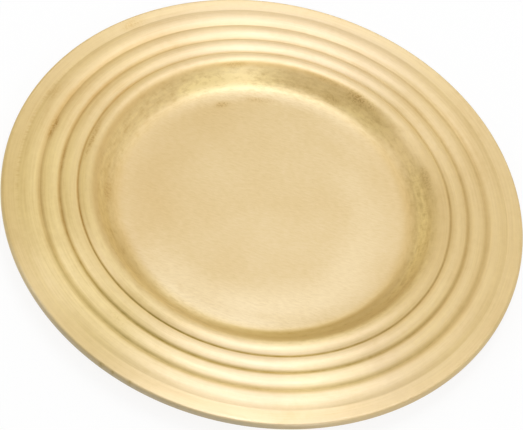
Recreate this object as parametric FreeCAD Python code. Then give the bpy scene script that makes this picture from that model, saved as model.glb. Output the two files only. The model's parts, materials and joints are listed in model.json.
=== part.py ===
import FreeCAD, Part

import math
import os

# Candle plate: a round plate pressed from one steel sheet, gold finished, on four stuck-on felt pads.
# The flat rim carries three rounded rings with narrow grooves between them, and a rounded bead where the
# wall drops to the wide flat floor that the candles stand on. The outer edge is turned down as a lip.
# Millimetres and degrees. The axis of the plate is Z, and the table that it stands on is Z = 0.

# Sheet and edge
plate_radius = 165.0
sheet_thickness = 1.0
lip_drop = 3.9
lip_fold_radius = 2.0

# Rim, from the outside in: a flat band, then the rings, each as wide as its two grooves are apart
outer_band_width = 10.4
outer_ring_width = 13.3
outer_ring_height = 1.1
middle_ring_width = 12.1
middle_ring_height = 1.25
inner_ring_width = 11.3
inner_ring_height = 1.35
crease_radius = 4.0
outer_groove_radius = 1.2
middle_groove_radius = 0.8
inner_groove_radius = 0.5

# Bead and well
bead_radius = 11.0
bead_height = 1.3
wall_angle_degrees = 46.0
well_depth = 10.5
wall_foot_radius = 11.0
floor_roll_radius = 100.0
floor_roll_angle_degrees = 7.0

# Felt pads and the adhesive discs that hold them
pad_count = 4
pad_radius = 9.0
pad_thickness = 2.5
pad_edge_round = 0.4
pad_inset = 6.0
adhesive_thickness = 0.5
adhesive_inset = 0.5

# Heights worked out from the sizes above
floor_underside_height = pad_thickness + adhesive_thickness
floor_height = floor_underside_height + sheet_thickness
rim_height = floor_height + well_depth


class Bend:
    """One round stretch of the sheet's cross-section, in the plane of radius and height.

    centre is the centre of the bend. signed_radius is the radius of its upper face: positive where the
    sheet arches over the centre and negative where the sheet lies under it. start and end are the
    directions that the upper face looks in at the two ends, as unit vectors.
    """

    def __init__(self, centre, signed_radius, start=None, end=None):
        self.centre = centre
        self.signed_radius = signed_radius
        self.start = start
        self.end = end

    def point(self, direction, depth):
        """The point that lies the given depth under the upper face, where that face looks in direction."""
        return self.centre + direction * (self.signed_radius - depth)

    def arc(self, depth):
        """The edge that runs along the bend at the given depth under the upper face."""
        middle = FreeCAD.Vector(self.start + self.end)
        middle.normalize()
        return Part.Arc(
            self.point(self.start, depth),
            self.point(middle, depth),
            self.point(self.end, depth),
        ).toShape()


def profile_point(radius, height):
    """A point of the cross-section, which lies in the XZ plane."""
    return FreeCAD.Vector(radius, 0, height)


def facing(tilt_degrees):
    """The unit vector that is tilted outwards from straight up by an angle."""
    tilt = math.radians(tilt_degrees)
    return FreeCAD.Vector(math.sin(tilt), 0, math.cos(tilt))


def unit_between(start, end):
    """The unit vector from one point to another."""
    direction = end - start
    direction.normalize()
    return direction


def ring_bend(outer_groove, width, height):
    """The rounded ring that rises by height between its outer groove and the next groove inwards."""
    radius = (width * width / 4 + height * height) / (2 * height)
    centre = profile_point(outer_groove - width / 2, rim_height + height - radius)
    return Bend(centre, radius)


def bead_bend(groove):
    """The bead at the mouth of the well, which starts in the innermost groove."""
    reach = math.sqrt(bead_height * (2 * bead_radius - bead_height))
    centre = profile_point(groove - reach, rim_height + bead_height - bead_radius)
    return Bend(centre, bead_radius)


def groove_bend(outside, inside, radius):
    """The narrow rounded groove between two rings, which touches both of them."""
    outer_gap = outside.signed_radius + radius
    inner_gap = inside.signed_radius + radius
    along = unit_between(outside.centre, inside.centre)
    apart = (inside.centre - outside.centre).Length
    share_along = (apart * apart + outer_gap * outer_gap - inner_gap * inner_gap) / (2 * apart)
    above = math.sqrt(outer_gap * outer_gap - share_along * share_along)
    upwards = FreeCAD.Vector(along.z, 0, -along.x)
    centre = outside.centre + along * share_along + upwards * above
    return Bend(centre, -radius)


def crease_bend(ring):
    """The soft crease between the flat outer band and the first ring."""
    gap = ring.signed_radius + crease_radius
    height = rim_height + crease_radius
    reach = math.sqrt(gap * gap - (height - ring.centre.z) ** 2)
    return Bend(profile_point(ring.centre.x + reach, height), -crease_radius)


def floor_bends(bead):
    """The bend at the foot of the wall, and the gentle roll that leads from it to the flat floor.

    They are placed so that the wall runs straight from the bead to its foot.
    """
    wall_facing = facing(-wall_angle_degrees)
    roll_facing = facing(-floor_roll_angle_degrees)
    roll_centre_height = floor_height + floor_roll_radius
    foot_centre_height = roll_centre_height - (floor_roll_radius - wall_foot_radius) * roll_facing.z
    wall_top = bead.point(wall_facing, 0)
    wall_drop = wall_top.z - foot_centre_height + wall_foot_radius * wall_facing.z
    wall_run = wall_drop / math.tan(math.radians(wall_angle_degrees))
    foot_centre = profile_point(wall_top.x - wall_run + wall_foot_radius * wall_facing.x, foot_centre_height)
    roll_centre = foot_centre + roll_facing * (floor_roll_radius - wall_foot_radius)
    foot = Bend(foot_centre, -wall_foot_radius, wall_facing, roll_facing)
    roll = Bend(roll_centre, -floor_roll_radius, roll_facing, facing(0))
    return [foot, roll]


def sheet_bends():
    """Every bend of the cross-section, from the lip in to the floor, each joined to the next."""
    fold = Bend(profile_point(plate_radius - lip_fold_radius, rim_height - lip_fold_radius), lip_fold_radius)
    groove_place = plate_radius - outer_band_width
    rings = []
    for width, height in (
        (outer_ring_width, outer_ring_height),
        (middle_ring_width, middle_ring_height),
        (inner_ring_width, inner_ring_height),
    ):
        rings.append(ring_bend(groove_place, width, height))
        groove_place -= width
    rings.append(bead_bend(groove_place))

    bends = [fold, crease_bend(rings[0]), rings[0]]
    groove_radii = (outer_groove_radius, middle_groove_radius, inner_groove_radius)
    for outside, inside, radius in zip(rings, rings[1:], groove_radii):
        bends.append(groove_bend(outside, inside, radius))
        bends.append(inside)

    fold.start = facing(90)
    fold.end = facing(0)
    bends[1].start = facing(0)
    for bend, inner in zip(bends[1:], bends[2:]):
        meeting = unit_between(bend.centre, inner.centre)
        if bend.signed_radius < 0:
            meeting = -meeting
        bend.end = meeting
        inner.start = meeting
    rings[-1].end = facing(-wall_angle_degrees)
    return bends + floor_bends(rings[-1])


def face_edges(bends, depth, axis_height):
    """The edges of one face of the sheet, from the lip to the axis of the plate."""
    edges = []
    last_point = bends[0].point(bends[0].start, depth)
    for bend in bends:
        start_point = bend.point(bend.start, depth)
        if start_point.distanceToPoint(last_point) > Part.Precision.confusion():
            edges.append(Part.LineSegment(last_point, start_point).toShape())
        edges.append(bend.arc(depth))
        last_point = bend.point(bend.end, depth)
    edges.append(Part.LineSegment(last_point, profile_point(0, axis_height)).toShape())
    return edges


def plate():
    """The pressed sheet: its cross-section turned round the Z axis."""
    bends = sheet_bends()
    upper = face_edges(bends, 0, floor_height)
    lower = face_edges(bends, sheet_thickness, floor_underside_height)

    fold = bends[0]
    outer_top = fold.point(fold.start, 0)
    inner_top = fold.point(fold.start, sheet_thickness)
    edge_round = sheet_thickness / 2
    edge_height = rim_height - lip_drop + edge_round
    outer_foot = profile_point(outer_top.x, edge_height)
    inner_foot = profile_point(inner_top.x, edge_height)
    lowest = profile_point(outer_top.x - edge_round, edge_height - edge_round)
    lip = [
        Part.LineSegment(outer_foot, outer_top).toShape(),
        Part.Arc(outer_foot, lowest, inner_foot).toShape(),
        Part.LineSegment(inner_foot, inner_top).toShape(),
    ]
    centre_line = Part.LineSegment(
        profile_point(0, floor_underside_height),
        profile_point(0, floor_height),
    ).toShape()
    outline = Part.Wire(Part.__sortEdges__(upper + lower + lip + [centre_line]))
    turned = Part.Face(outline).revolve(FreeCAD.Vector(), FreeCAD.Vector(0, 0, 1), 360)
    return turned


def pad_places():
    """The centres of the felt pads on the table, evenly spaced just inside the edge of the flat floor."""
    floor_edge = sheet_bends()[-1].centre.x
    ring = floor_edge - pad_inset - pad_radius
    places = []
    for index in range(pad_count):
        turn = math.radians((index + 0.5) * 360 / pad_count)
        places.append(FreeCAD.Vector(ring * math.cos(turn), ring * math.sin(turn), 0))
    return places


def felt_pad(place):
    """One round felt pad with a softened lower rim."""
    pad = Part.makeCylinder(pad_radius, pad_thickness, place)
    foot_edges = [edge for edge in pad.Edges if edge.BoundBox.ZMax < pad_thickness / 2]
    return pad.makeFillet(pad_edge_round, foot_edges)


def adhesive_disc(place):
    """The disc of adhesive that joins one felt pad to the underside of the floor."""
    return Part.makeCylinder(
        pad_radius - adhesive_inset,
        adhesive_thickness,
        place + FreeCAD.Vector(0, 0, pad_thickness),
    )


def main():
    nodes = {"plate": plate()}
    for number, place in enumerate(pad_places(), start=1):
        nodes[f"felt_pad_{number}"] = felt_pad(place)
        nodes[f"adhesive_disc_{number}"] = adhesive_disc(place)

    os.makedirs("parts", exist_ok=True)
    for name, shape in nodes.items():
        shape.exportStep(os.path.join("parts", name + ".step"))
        print(name, "valid", shape.isValid(), "solids", len(shape.Solids), "volume", round(shape.Volume, 1))
    bends = sheet_bends()
    print("flat floor radius", round(bends[-1].centre.x, 2), "floor height", round(floor_height, 2))


main()
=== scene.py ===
import json
import logging
import math
from collections.abc import Iterable
from dataclasses import dataclass, field
from enum import Enum

import bmesh
import bpy
from mathutils import Matrix, Vector, noise

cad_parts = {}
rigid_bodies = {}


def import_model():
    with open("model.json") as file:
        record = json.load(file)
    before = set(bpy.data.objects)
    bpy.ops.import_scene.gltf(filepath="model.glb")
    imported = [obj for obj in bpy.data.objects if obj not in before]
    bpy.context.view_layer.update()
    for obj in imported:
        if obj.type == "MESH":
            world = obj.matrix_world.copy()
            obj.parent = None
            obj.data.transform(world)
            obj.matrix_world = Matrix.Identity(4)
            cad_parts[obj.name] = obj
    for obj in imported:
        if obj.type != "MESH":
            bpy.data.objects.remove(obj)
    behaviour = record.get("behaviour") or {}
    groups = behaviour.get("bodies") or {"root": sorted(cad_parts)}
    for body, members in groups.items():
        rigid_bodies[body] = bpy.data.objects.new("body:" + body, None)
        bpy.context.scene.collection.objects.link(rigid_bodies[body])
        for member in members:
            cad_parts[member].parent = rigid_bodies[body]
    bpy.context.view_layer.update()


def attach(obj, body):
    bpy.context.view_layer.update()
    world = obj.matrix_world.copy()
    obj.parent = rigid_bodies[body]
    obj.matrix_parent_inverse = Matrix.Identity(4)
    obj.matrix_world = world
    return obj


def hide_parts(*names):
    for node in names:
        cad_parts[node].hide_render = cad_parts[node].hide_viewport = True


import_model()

log = logging.getLogger("candle_plate")

MM = 0.001

# The middle of what a noise texture gives
NOISE_MIDDLE = 0.5

# Points closer than this many metres are one point: while drawing, in the outline and after turning
DRAWN_GAP = 1e-6
OUTLINE_GAP = 1e-7
TURNED_GAP = 1e-6

Colour = tuple[float, float, float, float]
Zone = tuple[float, float]


class Slot(Enum):
    """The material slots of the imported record."""

    GOLD_SHEET = "gold_sheet"
    FELT = "felt"
    ADHESIVE = "adhesive"


class Signal:
    """The output of one shader node, with arithmetic that adds Math nodes."""

    def __init__(self, graph: "Graph", socket: bpy.types.NodeSocket) -> None:
        """Keeps the graph and the output socket."""
        self.graph = graph
        self.socket = socket

    def math(self, operation: str, *others: "Signal | float") -> "Signal":
        """Adds one Math node.

        Args:
            operation: The Math node's operation.
            others: The node's second and third values.

        Returns:
            The node's output.
        """
        inputs = dict(enumerate((self, *others)))
        return self.graph.node("ShaderNodeMath", {"operation": operation}, inputs)

    def __add__(self, other: "Signal | float") -> "Signal":
        """This plus other."""
        return self.math("ADD", other)

    def __radd__(self, other: float) -> "Signal":
        """Other plus this."""
        return self.math("ADD", other)

    def __sub__(self, other: "Signal | float") -> "Signal":
        """This minus other."""
        return self.math("SUBTRACT", other)

    def __rsub__(self, other: float) -> "Signal":
        """Other minus this."""
        return (self * -1.0).math("ADD", other)

    def __mul__(self, other: "Signal | float") -> "Signal":
        """This times other."""
        return self.math("MULTIPLY", other)

    def __rmul__(self, other: float) -> "Signal":
        """Other times this."""
        return self.math("MULTIPLY", other)

    def __truediv__(self, other: "Signal | float") -> "Signal":
        """This divided by other."""
        return self.math("DIVIDE", other)

    def __rtruediv__(self, other: float) -> "Signal":
        """Other divided by this."""
        return self.graph.node("ShaderNodeMath", {"operation": "DIVIDE"}, {0: other, 1: self})

    def scaled(self, gain: float, base: float) -> "Signal":
        """This times gain, plus base."""
        return self * gain + base

    def band(self, low: float, high: float) -> "Signal":
        """A smooth step from 0 at low to 1 at high.

        Args:
            low: The value at which the step starts.
            high: The value at which the step ends, which may be the lower one.

        Returns:
            The step's output.
        """
        inputs = {"Value": self, "From Min": low, "From Max": high}
        return self.graph.node("ShaderNodeMapRange", {"interpolation_type": "SMOOTHSTEP"}, inputs)

    def hill(self, centre: float, reach: float) -> "Signal":
        """A smooth hill of height 1 at centre that ends at a distance of reach."""
        return (self - centre).math("ABSOLUTE").band(reach, 0.0)


class Graph:
    """The node tree of one material or world."""

    def __init__(self, tree: bpy.types.NodeTree) -> None:
        """Empties the tree."""
        self.tree = tree
        tree.nodes.clear()

    def node(
        self,
        kind: str,
        settings: dict[str, object] | None = None,
        inputs: dict[int | str, object] | None = None,
        output: int | str = 0,
    ) -> Signal:
        """Adds one node of any kind.

        Args:
            kind: The node's type name.
            settings: The node's own settings, which are set first.
            inputs: Values or signals for its sockets, by name or place.
            output: The name or place of the output to return.

        Returns:
            The chosen output, or the node itself in a signal when it has no output.
        """
        made = self.tree.nodes.new(kind)
        for name, value in (settings or {}).items():
            setattr(made, name, value)
        for name, value in (inputs or {}).items():
            if isinstance(value, Signal):
                self.tree.links.new(value.socket, made.inputs[name])
            else:
                made.inputs[name].default_value = value
        return Signal(self, made.outputs[output] if made.outputs else None)

    def noise(self, vector: Signal, scale: float, detail: float = 2.0, roughness: float = 0.5) -> Signal:
        """Adds a Noise Texture.

        Args:
            vector: The place that it is read at.
            scale: Its scale, in features for each unit of the vector.
            detail: Its number of octaves.
            roughness: The strength of the finer octaves.

        Returns:
            The noise, mostly between 0.3 and 0.7.
        """
        inputs = {"Vector": vector, "Scale": scale, "Detail": detail, "Roughness": roughness}
        return self.node("ShaderNodeTexNoise", None, inputs)

    def vector(self, x: "Signal | float", y: "Signal | float", z: "Signal | float") -> Signal:
        """Joins three numbers in a vector."""
        return self.node("ShaderNodeCombineXYZ", None, {"X": x, "Y": y, "Z": z})

    def length(self, vector: Signal) -> Signal:
        """The length of a vector."""
        return self.node("ShaderNodeVectorMath", {"operation": "LENGTH"}, {0: vector}, output="Value")

    def axis(self, vector: Signal, name: str) -> Signal:
        """One axis of a vector, X, Y or Z."""
        return self.node("ShaderNodeSeparateXYZ", None, {0: vector}, output=name)

    def mix_value(self, factor: "Signal | float", low: "Signal | float", high: "Signal | float") -> Signal:
        """Mixes two numbers by a factor."""
        return self.node("ShaderNodeMix", {"data_type": "FLOAT"}, {0: factor, 2: low, 3: high})

    def mix_colour(self, factor: "Signal | float", low: "Signal | Colour", high: "Signal | Colour") -> Signal:
        """Mixes two colours.

        Args:
            factor: The share of the second colour.
            low: The first colour.
            high: The second colour.

        Returns:
            The mixed colour.
        """
        return self.node("ShaderNodeMix", {"data_type": "RGBA"}, {0: factor, 6: low, 7: high}, output=2)

    def bump(self, height: Signal, depth: float) -> Signal:
        """Turns a height between 0 and 1 into a normal.

        Args:
            height: The height.
            depth: What a height of 1 stands for, in metres.

        Returns:
            The normal.
        """
        return self.node("ShaderNodeBump", None, {"Height": height, "Distance": depth, "Strength": 1.0})

    def seen(self) -> Signal:
        """Tells the rays that show a surface from those that only carry its light.

        Returns:
            1 for the camera's rays and for mirrored ones, and 0 for the others.
        """
        rays = self.node("ShaderNodeLightPath", output="Is Camera Ray")
        glossy = Signal(self, rays.socket.node.outputs["Is Glossy Ray"])
        return rays.math("MAXIMUM", glossy)


def add_up(parts: Iterable[Signal]) -> Signal:
    """The sum of one signal or more."""
    first, *others = parts
    return sum(others, start=first)


def opaque(red: float, green: float, blue: float) -> Colour:
    """A colour with full alpha."""
    return (red, green, blue, 1.0)


def new_material(name: str) -> tuple[bpy.types.Material, Graph]:
    """Makes an empty material.

    Args:
        name: The material's name.

    Returns:
        The material and its graph.
    """
    material = bpy.data.materials.new(name)
    material.use_nodes = True
    return material, Graph(material.node_tree)


@dataclass(frozen=True)
class Spot:
    """Where a point of the plate lies, as the nodes read it.

    place is its object coordinates, radius its distance from the plate's axis in metres, and heading the unit
    vector from the axis to it.
    """

    graph: Graph
    place: Signal
    radius: Signal
    heading: Signal

    @classmethod
    def read(cls, graph: Graph) -> "Spot":
        """Adds the nodes that read it.

        Args:
            graph: The material's graph.

        Returns:
            The spot.
        """
        place = graph.node("ShaderNodeTexCoord", output="Object")
        flat = graph.node("ShaderNodeVectorMath", {"operation": "MULTIPLY"}, {0: place, 1: (1.0, 1.0, 0.0)})
        heading = graph.node("ShaderNodeVectorMath", {"operation": "NORMALIZE"}, {0: flat})
        return cls(graph, place, graph.length(flat), heading)

    def axis(self, name: str) -> Signal:
        """One of its coordinates, X, Y or Z."""
        return self.graph.axis(self.place, name)


@dataclass(frozen=True)
class Smudge:
    """A place where the dark toning was left on the gold.

    azimuth is in degrees round the plate and radius in metres from its axis. length is its reach along the
    rim and width its reach across it. strength is the share of toning at its middle. core is the share
    of its reach over which that strength holds.
    """

    azimuth: float
    radius: float
    length: float
    width: float
    strength: float
    core: float = 0.1

    def mask(self, spot: Spot) -> Signal:
        """The smudge's share of toning at a place.

        Args:
            spot: Where the point lies.

        Returns:
            A soft oval patch.
        """
        turn = math.radians(self.azimuth)
        centre = (self.radius * math.cos(turn), self.radius * math.sin(turn), 0.0)
        inputs = {"Vector": spot.place, "Location": centre, "Rotation": (0.0, 0.0, turn),
                  "Scale": (self.width, self.length, 1.0)}
        local = spot.graph.node("ShaderNodeMapping", {"vector_type": "TEXTURE"}, inputs)
        return spot.graph.length(local).band(1.0, self.core) * self.strength


@dataclass(frozen=True)
class Arc:
    """A long soft stretch round the plate that is lighter or darker than the rest.

    azimuth and half_span are in degrees round the plate, radius and reach in metres from its axis. strength
    is the share of the other colour at its middle. fade is the share of its reach over which it fades out.
    """

    azimuth: float
    half_span: float
    radius: float
    reach: float
    strength: float
    fade: float = 1.0

    def mask(self, spot: Spot) -> Signal:
        """The arc's share of the other colour.

        Args:
            spot: Where the point lies.

        Returns:
            A soft curved patch.
        """
        turn = math.radians(self.azimuth)
        inputs = {0: spot.place, 1: (math.cos(turn), math.sin(turn), 0.0)}
        along = spot.graph.node("ShaderNodeVectorMath", {"operation": "DOT_PRODUCT"}, inputs, output="Value")
        span = (along / spot.radius).band(math.cos(math.radians(self.half_span)), 1.0)
        away = (spot.radius - self.radius).math("ABSOLUTE")
        return span * away.band(self.reach, self.reach * (1.0 - self.fade)) * self.strength


@dataclass(frozen=True)
class GoldFinish:
    """Satin champagne gold over pressed steel: brush strokes, soft mottling and brown toning in low places,
    with painted highlights and painted shade in arcs round the plate and on the turned-down edge.

    Radii, reaches and depths are in metres. A zone holds the two values between which one thing goes over
    smoothly into another. A follow holds the gain and the base with which a share follows the ragged grain.
    Densities are in marks for each metre, or for each radian and each metre where there are two.
    """

    grooves: tuple[float, ...]
    plate_radius: float

    groove_reaches: tuple[float, ...] = (0.0034, 0.0023, 0.0013)
    groove_strengths: tuple[float, ...] = (0.50, 0.70, 0.84)
    groove_near_shade_gain: float = 0.54
    groove_base: float = 0.72
    wall_radius: float = 0.101
    wall_reach: float = 0.0075
    wall_strength: float = 0.06
    wall_gold_reach: float = 0.013
    wall_blotch_reach: float = 0.014
    fold_reach: float = 0.0024
    fold_near_shade_gain: float = 0.30
    fold_base: float = 0.10
    fold_near_zone: Zone = (0.05, -0.16)
    rim_zone: Zone = (0.088, 0.100)
    streak_zone: Zone = (0.088, 0.094)
    ring_zone: Zone = (0.106, 0.116)
    left_zone: Zone = (-0.04, -0.12)
    near_zone: Zone = (-0.02, -0.13)

    rim_gold: Colour = opaque(0.668, 0.402, 0.004)
    wall_gold: Colour = opaque(0.664, 0.405, 0.0)
    floor_gold: Colour = opaque(0.660, 0.438, 0.098)
    # Paler golds for the painted light arcs and for the random lighter mottle
    highlight_and_mottle_rim: Colour = opaque(1.0, 0.735, 0.17)
    highlight_and_mottle_floor: Colour = opaque(0.95, 0.755, 0.41)
    painted_highlight_gold: Colour = opaque(0.72, 0.50, 0.36)
    toning: Colour = opaque(0.412, 0.243, 0.072)
    # Copies of the toning colour for the left side and the near side: painted light and shade that tint the
    # toning by where it lies
    left_side_lit_toning: Colour = opaque(0.50, 0.255, 0.05)
    near_side_lit_toning: Colour = opaque(0.38, 0.262, 0.06)
    # The dark dull colour of the painted shade on the turned-down edge
    edge_shade_colour: Colour = opaque(0.33, 0.215, 0.01)

    stroke_turn: float = -39.0
    stroke_density: tuple[float, float] = (230.0, 950.0)
    streak_density: tuple[float, float] = (15.0, 620.0)
    streak_share: float = 0.75
    ring_density: tuple[float, float] = (3.0, 900.0)
    dash_density: tuple[float, float] = (95.0, 110.0)
    dash_zone: Zone = (0.42, 0.60)
    fleck_density: float = 800.0
    fleck_zone: Zone = (0.46, 0.60)
    smudge_zone: Zone = (0.30, 0.62)
    smudge_weight: float = 0.6
    ragged_density: float = 300.0
    ragged_share: float = 0.35
    toning_follow: tuple[float, float] = (1.2, 0.4)
    arc_follow: tuple[float, float] = (1.4, 0.3)
    broad_density: float = 22.0
    broad_weight: float = 0.7
    small_density: float = 240.0
    small_weight: float = 0.45
    grain_weight: float = 1.1
    blotch_weight: float = 2.5
    shade_weight: float = 0.6

    metallic: float = 0.12
    ior: float = 2.3
    floor_roughness: float = 0.48
    floor_specular: float = 0.7
    rim_roughness: float = 0.37
    rim_specular: float = 1.0
    rim_anisotropy: float = 0.9
    rim_anisotropy_turn: float = 0.25
    grain_roughness: float = 0.25
    toning_roughness: float = 0.15
    grain_relief_share: float = 0.7
    relief: float = 0.00004

    # Arcs of painted light: pools of light and painted highlights, laid on as a paler gold where the floor,
    # the foot of the wall and the rim should be brighter under the lamps. colour() adds the random lighter
    # mottle to them.
    painted_light_and_mottle: tuple[Arc, ...] = (
        Arc(300.0, 55.0, 0.0720, 0.0230, 0.24),
        Arc(10.0, 60.0, 0.0650, 0.0220, 0.14),
        Arc(265.0, 60.0, 0.0800, 0.0200, 0.31),
        Arc(252.0, 55.0, 0.0905, 0.0085, 0.50),
        Arc(94.0, 58.0, 0.0930, 0.0110, 0.46),
        Arc(114.0, 24.0, 0.1010, 0.0110, 0.70),
        Arc(121.0, 20.0, 0.0985, 0.0060, 0.62),
        Arc(150.0, 60.0, 0.1010, 0.0090, 0.12),
        Arc(355.0, 40.0, 0.1008, 0.0045, 0.34),
        Arc(60.0, 24.0, 0.0800, 0.0120, 0.16),
        Arc(28.0, 34.0, 0.1020, 0.0040, 0.28),
        Arc(60.0, 14.0, 0.1008, 0.0052, 0.34),
        Arc(225.0, 50.0, 0.1125, 0.0050, 0.22),
        Arc(294.0, 22.0, 0.1095, 0.0050, 0.30),
        Arc(220.0, 62.0, 0.1380, 0.0380, 0.53),
        Arc(122.0, 26.0, 0.1340, 0.0320, 0.10),
        Arc(298.0, 15.0, 0.1360, 0.0330, 0.45),
        Arc(98.0, 34.0, 0.1340, 0.0360, 0.10),
        Arc(276.0, 30.0, 0.1340, 0.0360, 0.15),
        Arc(100.0, 60.0, 0.1600, 0.0065, 0.28),
    )
    # Arcs of painted shade: darker toned gold where the wall, the foot of the wall and parts of the floor and
    # rim should fall in shade
    painted_shade_arcs: tuple[Arc, ...] = (
        Arc(165.0, 70.0, 0.0700, 0.0400, 0.12),
        Arc(150.0, 45.0, 0.1330, 0.0340, 0.04),
        Arc(303.0, 58.0, 0.1002, 0.0085, 0.46, 0.45),
        Arc(300.0, 40.0, 0.0945, 0.0040, 0.20),
        Arc(272.0, 60.0, 0.1000, 0.0080, 0.12),
        Arc(5.0, 55.0, 0.0930, 0.0070, 0.18),
        Arc(224.0, 18.0, 0.0930, 0.0130, 0.24),
        Arc(47.0, 20.0, 0.1030, 0.0080, 0.16),
        Arc(212.0, 42.0, 0.0950, 0.0100, 0.12),
        Arc(172.0, 70.0, 0.1075, 0.0042, 0.32),
        Arc(97.0, 38.0, 0.1080, 0.0030, 0.40),
        Arc(5.0, 50.0, 0.1120, 0.0060, 0.16),
        Arc(275.0, 60.0, 0.1570, 0.0080, 0.14),
    )
    # Arcs of painted highlight: a paler, whiter gold where the rim's highlights lie on the near and far side
    pale: tuple[Arc, ...] = (
        Arc(98.0, 50.0, 0.1380, 0.0330, 0.19, 0.50),
        Arc(284.0, 46.0, 0.1380, 0.0330, 0.19, 0.50),
    )
    # More painted shade on the turned-down edge at the near left
    edge_shade_arc: Arc = Arc(256.0, 48.0, 0.1650, 0.0024, 0.58)
    dashed: Arc = Arc(180.0, 32.0, 0.1550, 0.0020, 0.22)
    smudges: tuple[Smudge, ...] = (
        Smudge(67.0, 0.1064, 0.0150, 0.0058, 0.66),
        Smudge(60.0, 0.1070, 0.0100, 0.0040, 0.28),
        Smudge(80.0, 0.1075, 0.0200, 0.0028, 0.28),
        Smudge(75.0, 0.1000, 0.0120, 0.0040, 0.40),
        Smudge(26.0, 0.1068, 0.0180, 0.0042, 0.45),
        Smudge(113.0, 0.1075, 0.0140, 0.0030, 0.30),
        Smudge(193.0, 0.0985, 0.0130, 0.0045, 0.40),
        Smudge(121.0, 0.0838, 0.0080, 0.0036, 0.65),
        Smudge(104.0, 0.0860, 0.0170, 0.0030, 0.45),
        Smudge(281.0, 0.0830, 0.0080, 0.0030, 0.20),
        Smudge(136.0, 0.1580, 0.0130, 0.0060, 0.30),
        Smudge(166.0, 0.1520, 0.0140, 0.0050, 0.25),
        Smudge(240.0, 0.1350, 0.0120, 0.0040, 0.22),
        Smudge(176.0, 0.1150, 0.0240, 0.0026, 0.55),
        Smudge(185.0, 0.1282, 0.0220, 0.0026, 0.18),
        Smudge(176.0, 0.1405, 0.0150, 0.0034, 0.45),
        Smudge(245.7, 0.1642, 0.0030, 0.0014, 0.55),
        Smudge(252.7, 0.1642, 0.0026, 0.0013, 0.50),
        Smudge(248.5, 0.1644, 0.0020, 0.0012, 0.40),
    )

    def strokes(self, spot: Spot) -> Signal:
        """Fine short brush strokes that run slantwise over the floor.

        Args:
            spot: Where the point lies.

        Returns:
            The strokes, between 0 and 1.
        """
        inputs = {"Vector": spot.place, "Rotation": (0.0, 0.0, math.radians(-self.stroke_turn)),
                  "Scale": (*self.stroke_density, 1.0)}
        along = spot.graph.node("ShaderNodeMapping", {"vector_type": "POINT"}, inputs)
        return spot.graph.noise(along, 1.0, detail=3.0, roughness=0.6)

    def turned_grain(self, spot: Spot, density: tuple[float, float]) -> Signal:
        """Grain that follows the plate's roundness.

        Args:
            spot: Where the point lies.
            density: The number of marks for each radian round the plate, and for each metre outwards.

        Returns:
            The grain, between 0 and 1.
        """
        around, outwards = density
        east, north = (spot.graph.axis(spot.heading, name) * around for name in ("X", "Y"))
        way = spot.graph.vector(east, north, spot.radius * outwards)
        return spot.graph.noise(way, 1.0, detail=3.0, roughness=0.6)

    def arcs_share(self, spot: Spot, ragged: Signal, arcs: tuple[Arc, ...]) -> Signal:
        """The share of another colour in a set of arcs, which follows the ragged grain.

        Args:
            spot: Where the point lies.
            ragged: The ragged grain.
            arcs: The arcs.

        Returns:
            The share, from 0 up.
        """
        return add_up(arc.mask(spot) for arc in arcs) * ragged.scaled(*self.arc_follow)

    def toned_and_shaded(self, spot: Spot, ragged: Signal) -> Signal:
        """The share of the toning colour: brown toning in the grooves, on the wall and in the smudges, and
        painted shade in the grooves and in the shade arcs.

        Args:
            spot: Where the point lies.
            ragged: The ragged grain, which breaks the toning up.

        Returns:
            The share, from 0 up.
        """
        # Grooves: brown patina with painted shade of their hollows, darker towards the near side and fainter
        # towards the far side
        side = spot.axis("Y") * (-self.groove_near_shade_gain / self.plate_radius) + self.groove_base
        hills = [spot.radius.hill(self.wall_radius, self.wall_reach) * self.wall_strength]
        for groove, reach, strength in zip(self.grooves, self.groove_reaches, self.groove_strengths):
            hills.append(spot.radius.hill(groove, reach) * side * strength)
        flecks = spot.graph.noise(spot.place, self.fleck_density, detail=2.0, roughness=0.6)
        flecks = flecks.band(*self.fleck_zone)
        broken = ragged.band(*self.smudge_zone) * self.smudge_weight + flecks * self.smudge_weight
        dashes = self.turned_grain(spot, self.dash_density).band(*self.dash_zone)
        return add_up((
            add_up(hills) * ragged.scaled(*self.toning_follow),
            add_up(smudge.mask(spot) for smudge in self.smudges) * broken,
            self.dashed.mask(spot) * dashes,
            # Painted shade from the shade arcs
            self.arcs_share(spot, ragged, self.painted_shade_arcs),
        ))

    def edge_shade_share(self, spot: Spot, ragged: Signal) -> Signal:
        """The share of painted shade on the turned-down edge, strongest on the near side.

        Args:
            spot: Where the point lies.
            ragged: The ragged grain.

        Returns:
            The share, from 0 up.
        """
        near = spot.axis("Y").band(*self.fold_near_zone).scaled(self.fold_near_shade_gain, self.fold_base)
        fold = spot.radius.hill(self.plate_radius, self.fold_reach) * near
        return (fold + self.edge_shade_arc.mask(spot)) * ragged.scaled(*self.toning_follow)

    def shade(self, spot: Spot, ragged: Signal, grain: Signal) -> Signal:
        """How light the gold is from place to place, around the middle of a noise.

        Args:
            spot: Where the point lies.
            ragged: The ragged grain, which gives the wall its blotches.
            grain: The grain of the brushing.

        Returns:
            The shade.
        """
        wall = spot.radius.hill(self.wall_radius, self.wall_blotch_reach)
        broad = spot.graph.noise(spot.place, self.broad_density)
        small = spot.graph.noise(spot.place, self.small_density, detail=3.0, roughness=0.6)
        return add_up((
            (broad - NOISE_MIDDLE) * self.broad_weight,
            (small - NOISE_MIDDLE) * self.small_weight,
            (grain - NOISE_MIDDLE) * self.grain_weight,
            wall * (ragged - NOISE_MIDDLE) * self.blotch_weight,
        )) + NOISE_MIDDLE

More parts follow.
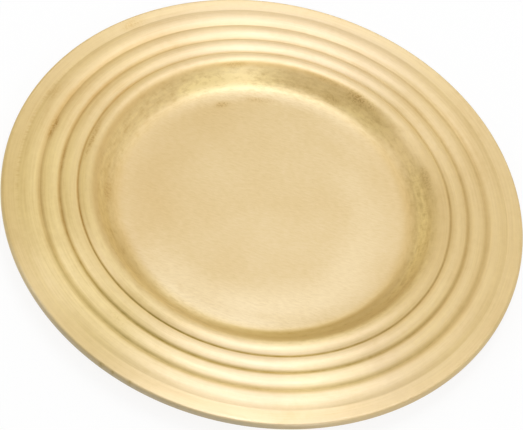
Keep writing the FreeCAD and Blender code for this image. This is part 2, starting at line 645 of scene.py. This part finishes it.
    def colour(self, spot: Spot, rim_share: Signal, ragged: Signal, shade: Signal, toned_and_shaded: Signal) -> Signal:
        """The colour of the gold with its toning and mottling, and with painted highlights and painted shade.

        Args:
            spot: Where the point lies.
            rim_share: 0 on the floor and 1 on the rim.
            ragged: The ragged grain.
            shade: How light the gold is.
            toned_and_shaded: The share of the toning colour, which holds brown toning and painted shade.

        Returns:
            The colour.
        """
        graph = spot.graph
        wall = spot.radius.hill(self.wall_radius, self.wall_gold_reach)
        gold = graph.mix_colour(rim_share, self.floor_gold, self.rim_gold)
        gold = graph.mix_colour(wall, gold, self.wall_gold)
        lighter = (shade - NOISE_MIDDLE).math("MAXIMUM", 0.0) * self.shade_weight
        # Painted light from the arcs, plus the random lighter mottle
        painted_light_and_mottle = self.arcs_share(spot, ragged, self.painted_light_and_mottle) + lighter
        gold = graph.mix_colour(painted_light_and_mottle, gold, graph.mix_colour(rim_share, self.highlight_and_mottle_floor, self.highlight_and_mottle_rim))
        # Painted highlight: the rim's highlights whitened with a paler gold
        gold = graph.mix_colour(self.arcs_share(spot, ragged, self.pale), gold, self.painted_highlight_gold)
        # The toning colour is tinted by side, as painted light and shade: warmer on the left and more olive
        # on the near side
        toning = graph.mix_colour(spot.axis("X").band(*self.left_zone), self.toning, self.left_side_lit_toning)
        toning = graph.mix_colour(spot.axis("Y").band(*self.near_zone), toning, self.near_side_lit_toning)
        dressed = graph.mix_colour(toned_and_shaded, gold, toning)
        # Painted shade on the turned-down edge
        return graph.mix_colour(self.edge_shade_share(spot, ragged), dressed, self.edge_shade_colour)

    def build(self) -> bpy.types.Material:
        """Builds the material.

        Returns:
            The material.
        """
        material, graph = new_material("champagne_gold")
        spot = Spot.read(graph)
        rim_share = spot.radius.band(*self.rim_zone)
        strokes = self.strokes(spot)
        streaks = self.turned_grain(spot, self.streak_density)
        streaks = streaks * self.streak_share + strokes * (1.0 - self.streak_share)
        strokes = graph.mix_value(spot.radius.band(*self.streak_zone), strokes, streaks)
        rings = self.turned_grain(spot, self.ring_density)
        grain = graph.mix_value(spot.radius.band(*self.ring_zone), strokes, rings)
        ragged = graph.noise(spot.place, self.ragged_density, detail=3.0, roughness=0.7)
        ragged = ragged * self.ragged_share + strokes * (1.0 - self.ragged_share)
        shade = self.shade(spot, ragged, grain)
        darker = (NOISE_MIDDLE - shade).math("MAXIMUM", 0.0) * self.shade_weight
        # The share of the toning colour: brown toning, painted shade and the random darker mottle
        toned_and_shaded = self.toned_and_shaded(spot, ragged) + darker

        roughness = (grain - NOISE_MIDDLE) * self.grain_roughness + toned_and_shaded * self.toning_roughness
        height = grain * self.grain_relief_share + ragged * (1.0 - self.grain_relief_share)
        shared = {
            "Base Color": self.colour(spot, rim_share, ragged, shade, toned_and_shaded),
            "Metallic": toned_and_shaded.math("MINIMUM", 1.0).scaled(1.0 - self.metallic, self.metallic),
            "IOR": self.ior,
            "Normal": graph.bump(height, self.relief),
        }
        floor = graph.node("ShaderNodeBsdfPrincipled", None, {
            **shared, "Roughness": roughness + self.floor_roughness,
            "Specular IOR Level": self.floor_specular,
        })
        rim = graph.node("ShaderNodeBsdfPrincipled", None, {
            **shared, "Roughness": roughness + self.rim_roughness, "Specular IOR Level": self.rim_specular,
            "Anisotropic": self.rim_anisotropy, "Anisotropic Rotation": self.rim_anisotropy_turn,
        })
        shader = graph.node("ShaderNodeMixShader", None, {0: rim_share, 1: floor, 2: rim})
        graph.node("ShaderNodeOutputMaterial", None, {"Surface": shader})
        return material


@dataclass(frozen=True)
class FeltFinish:
    """Grey-brown needled felt with lighter fibres. Densities are in marks for each metre."""

    dark: Colour = opaque(0.085, 0.065, 0.045)
    light: Colour = opaque(0.26, 0.21, 0.155)
    bend_density: float = 260.0
    bend_reach: float = 0.006
    fibre_density: float = 2600.0
    fibre_zone: Zone = (0.38, 0.66)
    fibre_share: float = 0.7
    clump_density: float = 500.0
    clump_zone: Zone = (0.35, 0.65)
    roughness: float = 0.95
    sheen: float = 0.3
    sheen_roughness: float = 0.6
    relief: float = 0.0003

    def build(self) -> bpy.types.Material:
        """Builds the material.

        Returns:
            The material.
        """
        material, graph = new_material("needled_felt")
        place = graph.node("ShaderNodeTexCoord", output="Object")
        bend = graph.noise(place, self.bend_density) * self.bend_reach
        bent = graph.node("ShaderNodeVectorMath", {"operation": "ADD"}, {0: place, 1: bend})
        fibres = graph.noise(bent, self.fibre_density, detail=4.0, roughness=0.7).band(*self.fibre_zone)
        clumps = graph.noise(place, self.clump_density, detail=3.0, roughness=0.6).band(*self.clump_zone)
        share = fibres * self.fibre_share + clumps * (1.0 - self.fibre_share)
        shader = graph.node("ShaderNodeBsdfPrincipled", None, {
            "Base Color": graph.mix_colour(share, self.dark, self.light),
            "Roughness": self.roughness, "Sheen Weight": self.sheen, "Sheen Roughness": self.sheen_roughness,
            "Normal": graph.bump(share, self.relief),
        })
        graph.node("ShaderNodeOutputMaterial", None, {"Surface": shader})
        return material


@dataclass(frozen=True)
class AdhesiveFinish:
    """Off-white pressure-sensitive adhesive with a slightly cloudy surface."""

    colour: Colour = opaque(0.60, 0.58, 0.50)
    cloud: Colour = opaque(0.72, 0.70, 0.63)
    cloud_density: float = 350.0
    cloud_zone: Zone = (0.35, 0.65)
    roughness: float = 0.45
    cloud_roughness: float = 0.3
    relief: float = 0.0001

    def build(self) -> bpy.types.Material:
        """Builds the material.

        Returns:
            The material.
        """
        material, graph = new_material("clear_adhesive")
        place = graph.node("ShaderNodeTexCoord", output="Object")
        clouds = graph.noise(place, self.cloud_density, detail=3.0, roughness=0.6)
        shader = graph.node("ShaderNodeBsdfPrincipled", None, {
            "Base Color": graph.mix_colour(clouds.band(*self.cloud_zone), self.colour, self.cloud),
            "Roughness": clouds.scaled(self.cloud_roughness, self.roughness),
            "Normal": graph.bump(clouds, self.relief),
        })
        graph.node("ShaderNodeOutputMaterial", None, {"Surface": shader})
        return material


def add_piece(
    name: str, mesh: bmesh.types.BMesh, finish: bpy.types.Material, node: str
) -> bpy.types.Object:
    """Puts a finished mesh in the scene in place of a CAD node.

    Args:
        name: The piece's name.
        mesh: The mesh, which is freed.
        finish: The material.
        node: The CAD node that the piece replaces.

    Returns:
        The piece.
    """
    for face in mesh.faces:
        face.smooth = True
    data = bpy.data.meshes.new(name)
    mesh.to_mesh(data)
    mesh.free()
    data.materials.append(finish)
    piece = bpy.data.objects.new(name, data)
    bpy.context.scene.collection.objects.link(piece)
    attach(piece, "root")
    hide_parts(node)
    log.info("%s: %d faces", name, len(data.polygons))
    return piece


@dataclass
class PlateSizes:
    """The cross-section of the plate in millimetres, as on the drawing."""

    plate_radius: float = 165.0
    sheet_thickness: float = 1.0
    lip_drop: float = 3.9
    lip_fold_radius: float = 2.0
    outer_band_width: float = 10.4
    ring_widths: tuple[float, ...] = (13.3, 12.1, 11.3)
    ring_heights: tuple[float, ...] = (1.1, 1.25, 1.35)
    crease_radius: float = 4.0
    groove_radii: tuple[float, ...] = (1.2, 0.8, 0.5)
    bead_radius: float = 11.0
    bead_height: float = 1.3
    wall_angle: float = 46.0
    well_depth: float = 10.5
    foot_radius: float = 11.0
    floor_roll_radius: float = 100.0
    floor_roll_angle: float = 7.0
    pad_radius: float = 9.0
    pad_inset: float = 6.0
    pad_thickness: float = 2.5
    adhesive_thickness: float = 0.5

    @property
    def floor_height(self) -> float:
        """The height of the flat floor's upper face above the table."""
        return self.pad_thickness + self.adhesive_thickness + self.sheet_thickness

    @property
    def rim_height(self) -> float:
        """The height of the flat rim's upper face above the table."""
        return self.floor_height + self.well_depth


@dataclass
class Bend:
    """One round stretch of the cross-section.

    centre is its centre. signed_radius is its upper face's radius: positive where the sheet arches over the
    centre, negative where it lies under it. start and end are the tilts in radians, outwards from straight
    up, that the upper face looks in at its two ends.
    """

    centre: Vector
    signed_radius: float
    start: float = 0.0
    end: float = 0.0

    def point(self, tilt: float, depth: float) -> Vector:
        """The point at the given depth under the upper face, where that face has the given tilt."""
        direction = Vector((math.sin(tilt), 0.0, math.cos(tilt)))
        return self.centre + direction * (self.signed_radius - depth)


def tilt_between(start: Vector, end: Vector) -> float:
    """The tilt outwards from straight up of the line from start to end."""
    return math.atan2(end.x - start.x, end.z - start.z)


def last_vertex(spun: dict[str, list]) -> bmesh.types.BMVert:
    """The vertex at the end of what bmesh's spin has made of one vertex."""
    return next(item for item in spun["geom_last"] if isinstance(item, bmesh.types.BMVert))


@dataclass
class Plate:
    """The pressed plate, turned from its cross-section.

    segments is the number of faces round the plate, which is turned in equal sectors. arc_step is the
    angle in degrees between two points of a bend.
    """

    sizes: PlateSizes = field(default_factory=PlateSizes)
    segments: int = 360
    sectors: int = 8
    arc_step: float = 4.0
    lip_steps: int = 4

    def bends(self) -> list[Bend]:
        """Works out every bend from the lip in to the floor.

        Returns:
            The bends, each joined to the next.
        """
        s = self.sizes
        rim = s.rim_height
        fold_place = Vector((s.plate_radius - s.lip_fold_radius, 0, rim - s.lip_fold_radius))
        fold = Bend(fold_place, s.lip_fold_radius)
        groove = s.plate_radius - s.outer_band_width
        rings = []
        for width, height in zip(s.ring_widths, s.ring_heights):
            radius = (width * width / 4 + height * height) / (2 * height)
            rings.append(Bend(Vector((groove - width / 2, 0, rim + height - radius)), radius))
            groove -= width
        reach = math.sqrt(s.bead_height * (2 * s.bead_radius - s.bead_height))
        rings.append(Bend(Vector((groove - reach, 0, rim + s.bead_height - s.bead_radius)), s.bead_radius))

        first = rings[0]
        crease_height = rim + s.crease_radius
        gap = first.signed_radius + s.crease_radius
        crease_reach = math.sqrt(gap * gap - (crease_height - first.centre.z) ** 2)
        crease = Bend(Vector((first.centre.x + crease_reach, 0, crease_height)), -s.crease_radius)

        chain = [fold, crease, first]
        for outside, inside, radius in zip(rings, rings[1:], s.groove_radii):
            chain.append(self.groove_between(outside, inside, radius))
            chain.append(inside)
        chain.extend(self.floor_bends(rings[-1]))

        fold.start = math.radians(90)
        for bend, inner in zip(chain[1:-2], chain[2:-2]):
            low, high = (bend, inner) if bend.signed_radius > 0 else (inner, bend)
            bend.end = tilt_between(low.centre, high.centre)
            inner.start = bend.end
        rings[-1].end = math.radians(-s.wall_angle)
        return chain

    def grooves(self) -> tuple[float, ...]:
        """Works out where the grooves between the rings lie.

        Returns:
            Their radii in metres, from the outside in.
        """
        radius = self.sizes.plate_radius - self.sizes.outer_band_width
        radii = []
        for width in self.sizes.ring_widths:
            radius -= width
            radii.append(radius * MM)
        return tuple(radii)

    def pad_ring(self) -> float:
        """The radius in metres of the ring of pads, just inside the edge of the flat floor."""
        return (self.bends()[-1].centre.x - self.sizes.pad_inset - self.sizes.pad_radius) * MM

    def groove_between(self, outside: Bend, inside: Bend, radius: float) -> Bend:
        """The rounded groove that touches two rings.

        Args:
            outside: The outer ring.
            inside: The inner ring, or the bead.
            radius: The groove's radius in millimetres.

        Returns:
            The groove.
        """
        outer_gap = outside.signed_radius + radius
        inner_gap = inside.signed_radius + radius
        along = (inside.centre - outside.centre).normalized()
        apart = (inside.centre - outside.centre).length
        reach = (apart * apart + outer_gap * outer_gap - inner_gap * inner_gap) / (2 * apart)
        above = math.sqrt(outer_gap * outer_gap - reach * reach)
        upwards = Vector((along.z, 0, -along.x))
        return Bend(outside.centre + along * reach + upwards * above, -radius)

    def floor_bends(self, bead: Bend) -> tuple[Bend, Bend]:
        """The bend at the foot of the wall and the gentle roll from there to the flat floor.

        Args:
            bead: The bead at the mouth of the well.

        Returns:
            The two bends.
        """
        s = self.sizes
        steep = math.radians(-s.wall_angle)
        gentle = math.radians(-s.floor_roll_angle)
        slack = s.floor_roll_radius - s.foot_radius
        roll_height = s.floor_height + s.floor_roll_radius
        foot_height = roll_height - slack * math.cos(gentle)
        wall_top = bead.point(steep, 0)
        run = (wall_top.z - foot_height + s.foot_radius * math.cos(steep)) / math.tan(-steep)
        foot_place = wall_top.x - run + s.foot_radius * math.sin(steep)
        foot = Bend(Vector((foot_place, 0, foot_height)), -s.foot_radius, steep, gentle)
        roll_place = foot_place + slack * math.sin(gentle)
        roll = Bend(Vector((roll_place, 0, roll_height)), -s.floor_roll_radius, gentle, 0.0)
        return foot, roll

    def draw_face(
        self, mesh: bmesh.types.BMesh, tip: bmesh.types.BMVert, chain: list[Bend],
        depth: float, axis_height: float,
    ) -> None:
        """Draws one face of the cross-section from the lip to the axis.

        Args:
            mesh: The mesh that takes the vertices and edges.
            tip: The vertex that the face starts from.
            chain: The bends.
            depth: The depth of this face under the upper face.
            axis_height: The height at which the face meets the axis.
        """
        for bend in chain:
            tip = self.line(mesh, tip, bend.point(bend.start, depth))
            turn = bend.end - bend.start
            steps = max(2, round(abs(math.degrees(turn)) / self.arc_step))
            tip = last_vertex(bmesh.ops.spin(
                mesh, geom=[tip], cent=bend.centre * MM, axis=(0, 1, 0), angle=turn, steps=steps,
                use_duplicate=False,
            ))
        self.line(mesh, tip, Vector((0, 0, axis_height)))

    def line(self, mesh: bmesh.types.BMesh, tip: bmesh.types.BMVert, target: Vector) -> bmesh.types.BMVert:
        """Extrudes a vertex to a target in millimetres, unless it is there already.

        Args:
            mesh: The mesh.
            tip: The vertex to start from.
            target: The place to go to.

        Returns:
            The vertex at the target.
        """
        step = target * MM - tip.co
        if step.length < DRAWN_GAP:
            return tip
        new = bmesh.ops.extrude_vert_indiv(mesh, verts=[tip])["verts"][0]
        bmesh.ops.translate(mesh, verts=[new], vec=step)
        return new

    def build(self, finish: bpy.types.Material) -> bpy.types.Object:
        """Builds the plate.

        Args:
            finish: The gold.

        Returns:
            The plate.
        """
        s = self.sizes
        mesh = bmesh.new()
        chain = self.bends()
        edge_round = s.sheet_thickness / 2
        foot = Vector((s.plate_radius - edge_round, 0, s.rim_height - s.lip_drop))
        centre = foot + Vector((0, 0, edge_round))
        upper = (1, 0.0, s.floor_height)
        lower = (-1, s.sheet_thickness, s.floor_height - s.sheet_thickness)
        for side, depth, axis_height in (upper, lower):
            tip = mesh.verts.new(foot * MM)
            tip = last_vertex(bmesh.ops.spin(
                mesh, geom=[tip], cent=centre * MM, axis=(0, 1, 0), angle=-side * math.pi / 2,
                steps=self.lip_steps, use_duplicate=False,
            ))
            self.draw_face(mesh, tip, chain, depth, axis_height)
        bmesh.ops.remove_doubles(mesh, verts=mesh.verts, dist=OUTLINE_GAP)
        bmesh.ops.spin(
            mesh, geom=[*mesh.verts, *mesh.edges], cent=(0, 0, 0), axis=(0, 0, 1),
            angle=math.tau / self.sectors, steps=self.segments // self.sectors,
            use_merge=False, use_duplicate=False,
        )
        bmesh.ops.spin(
            mesh, geom=[*mesh.verts, *mesh.edges, *mesh.faces], cent=(0, 0, 0), axis=(0, 0, 1),
            angle=math.tau * (self.sectors - 1) / self.sectors, steps=self.sectors - 1,
            use_merge=False, use_duplicate=True,
        )
        bmesh.ops.remove_doubles(mesh, verts=mesh.verts, dist=TURNED_GAP)
        bmesh.ops.recalc_face_normals(mesh, faces=mesh.faces)
        return add_piece("pressed_plate", mesh, finish, "plate")


@dataclass
class FeltPads:
    """The die-cut felt pads that the plate stands on, with the discs of adhesive that hold them."""

    sizes: PlateSizes
    ring_radius: float
    count: int = 4
    edge_round: float = 0.45 * MM
    edge_steps: int = 4
    edge_wander: float = 0.12 * MM
    wander_density: float = 900.0
    segments: int = 72

    def build_pad(self, number: int, finish: bpy.types.Material) -> bpy.types.Object:
        """Builds one pad over its CAD node.

        Args:
            number: The pad's number, from 1.
            finish: The felt.

        Returns:
            The pad.
        """
        radius = self.sizes.pad_radius * MM
        thickness = self.sizes.pad_thickness * MM
        turn = math.tau * (number - 0.5) / self.count
        centre = Vector((self.ring_radius * math.cos(turn), self.ring_radius * math.sin(turn), 0.0))
        mesh = bmesh.new()
        bmesh.ops.create_cone(
            mesh, cap_ends=True, segments=self.segments, radius1=radius, radius2=radius, depth=thickness,
            matrix=Matrix.Translation((0.0, 0.0, thickness / 2)),
        )
        rims = [edge for edge in mesh.edges if len({round(v.co.z, 6) for v in edge.verts}) == 1]
        bmesh.ops.bevel(
            mesh, geom=rims, affect="EDGES", offset=self.edge_round, segments=self.edge_steps, profile=0.5,
            material=-1,
        )
        for vert in mesh.verts:
            outwards = Vector((vert.co.x, vert.co.y, 0.0))
            if outwards.length > radius / 2:
                # From -2 to 0, so the edge only goes inwards
                wander = noise.noise((vert.co + centre) * self.wander_density) - 1.0
                vert.co += outwards.normalized() * wander * self.edge_wander / 2
        bmesh.ops.translate(mesh, verts=mesh.verts, vec=centre)
        return add_piece(f"felt_foot_{number}", mesh, finish, f"felt_pad_{number}")

    def build(self, felt: bpy.types.Material, adhesive: bpy.types.Material) -> None:
        """Builds every pad and dresses the adhesive discs.

        Args:
            felt: The pads' finish.
            adhesive: The finish of the adhesive.
        """
        for number in range(1, self.count + 1):
            self.build_pad(number, felt)
            disc = bpy.data.objects[f"adhesive_disc_{number}"]
            disc.data.materials.clear()
            disc.data.materials.append(adhesive)
            log.info("%s: dressed", disc.name)


@dataclass(frozen=True)
class Softbox:
    """One soft rectangular lamp that looks at the plate.

    way is the direction from the plate to the lamp, size its width and length in metres, and radiance how
    bright its face is.
    """

    name: str
    way: tuple[float, float, float]
    size: tuple[float, float]
    radiance: float

    def build(self, distance: float) -> None:
        """Hangs the lamp.

        Args:
            distance: Its distance in metres from the plate's place on the table.
        """
        light = bpy.data.lights.new(self.name, "AREA")
        light.shape = "RECTANGLE"
        light.size, light.size_y = self.size
        light.energy = self.radiance * math.pi * light.size * light.size_y
        lamp = bpy.data.objects.new(self.name, light)
        towards = Vector(self.way).normalized()
        lamp.location = towards * distance
        lamp.rotation_euler = towards.to_track_quat("Z", "Y").to_euler()
        bpy.context.scene.collection.objects.link(lamp)


@dataclass
class Studio:
    """The floor, the light and the camera. Angles are in degrees and lengths in metres.

    The camera's distance and shifts are shares of the plate's radius, as seen from the middle of its rim.
    """

    sizes: PlateSizes
    photo_width_px: float = 523.0
    focal_px: float = 1988.8
    sensor_width_mm: float = 36.0
    clip: tuple[float, float] = (0.01, 50.0)
    elevation: float = 52.84
    roll: float = 14.78
    distance_share: float = 7.54
    right_shift_share: float = 0.0184
    up_shift_share: float = 0.0716
    floor_radius: float = 4.0
    floor_segments: int = 64
    floor_shown: Colour = opaque(0.13, 0.13, 0.13)
    floor_glow: float = 0.87
    floor_lighting: Colour = opaque(0.85, 0.85, 0.85)
    white: Colour = opaque(1.0, 1.0, 1.0)
    zenith_strength: float = 0.43
    horizon_strength: float = 0.81
    height_zone: Zone = (0.45, 0.85)
    right_gain: float = 0.3
    lighting_strength: float = 0.62
    light_distance: float = 1.5
    lights: tuple[Softbox, ...] = (
        Softbox("softbox", (0.057, 0.338, 0.939), (0.48, 0.84), 4.80),
        Softbox("fill", (-0.70, -0.03, 0.71), (0.5, 0.5), 1.8),
        Softbox("side", (-0.386, 0.252, 0.871), (0.35, 0.35), 1.6),
        Softbox("front", (0.45, -0.62, 0.64), (0.4, 0.4), 2.5),
    )

    def build_floor(self) -> None:
        """Builds the pale floor, which glows where it is seen and is plain pale where it only lights."""
        mesh = bmesh.new()
        bmesh.ops.create_circle(mesh, cap_ends=True, segments=self.floor_segments, radius=self.floor_radius)
        data = bpy.data.meshes.new("floor")
        mesh.to_mesh(data)
        mesh.free()
        material, graph = new_material("pale_floor")
        shown = graph.node("ShaderNodeBsdfDiffuse", None, {"Color": self.floor_shown})
        glow = graph.node("ShaderNodeEmission", None, {"Color": self.white, "Strength": self.floor_glow})
        shown = graph.node("ShaderNodeAddShader", None, {0: shown, 1: glow})
        lighting = graph.node("ShaderNodeBsdfDiffuse", None, {"Color": self.floor_lighting})
        surface = graph.node("ShaderNodeMixShader", None, {0: graph.seen(), 1: lighting, 2: shown})
        graph.node("ShaderNodeOutputMaterial", None, {"Surface": surface})
        data.materials.append(material)
        floor = bpy.data.objects.new("floor", data)
        bpy.context.scene.collection.objects.link(floor)

    def build_world(self) -> None:
        """Builds the plain white surroundings, which look brighter towards the horizon and the right."""
        world = bpy.data.worlds.new("studio")
        world.use_nodes = True
        bpy.context.scene.world = world
        graph = Graph(world.node_tree)
        way = graph.node("ShaderNodeTexCoord", output="Generated")
        height = graph.axis(way, "Z").band(*self.height_zone)
        shown = graph.mix_value(height, self.horizon_strength, self.zenith_strength)
        shown = shown * graph.axis(way, "X").scaled(self.right_gain, 1.0)
        strength = graph.mix_value(graph.seen(), self.lighting_strength, shown)
        background = graph.node("ShaderNodeBackground", None, {"Color": self.white, "Strength": strength})
        graph.node("ShaderNodeOutputWorld", None, {"Surface": background})

    def build_camera(self) -> None:
        """Places the camera where the photograph was taken from."""
        tilt = math.radians(self.elevation)
        roll = math.radians(self.roll)
        back = Vector((0.0, -math.cos(tilt), math.sin(tilt)))
        right = Vector((1.0, 0.0, 0.0))
        up = back.cross(right)
        right, up = right * math.cos(roll) + up * math.sin(roll), up * math.cos(roll) - right * math.sin(roll)
        target = Vector((0.0, 0.0, self.sizes.rim_height * MM))
        place = target + self.sizes.plate_radius * MM * (
            back * self.distance_share - right * self.right_shift_share - up * self.up_shift_share
        )
        data = bpy.data.cameras.new("camera")
        data.sensor_width = self.sensor_width_mm
        data.lens = data.sensor_width * self.focal_px / self.photo_width_px
        data.clip_start, data.clip_end = self.clip
        camera = bpy.data.objects.new("camera", data)
        camera.matrix_world = Matrix.Translation(place) @ Matrix((right, up, back)).transposed().to_4x4()
        bpy.context.scene.collection.objects.link(camera)
        bpy.context.scene.camera = camera

    def build(self) -> None:
        """Builds the whole studio."""
        self.build_floor()
        self.build_world()
        for softbox in self.lights:
            softbox.build(self.light_distance)
        self.build_camera()
        bpy.context.scene.view_settings.view_transform = "Standard"


def main() -> None:
    """Builds the dressed plate and its studio."""
    logging.basicConfig(level=logging.INFO)
    plate = Plate()
    sizes = plate.sizes
    plate.build(GoldFinish(plate.grooves(), sizes.plate_radius * MM).build())
    FeltPads(sizes, plate.pad_ring()).build(FeltFinish().build(), AdhesiveFinish().build())
    Studio(sizes).build()


if __name__ == "__main__":
    main()
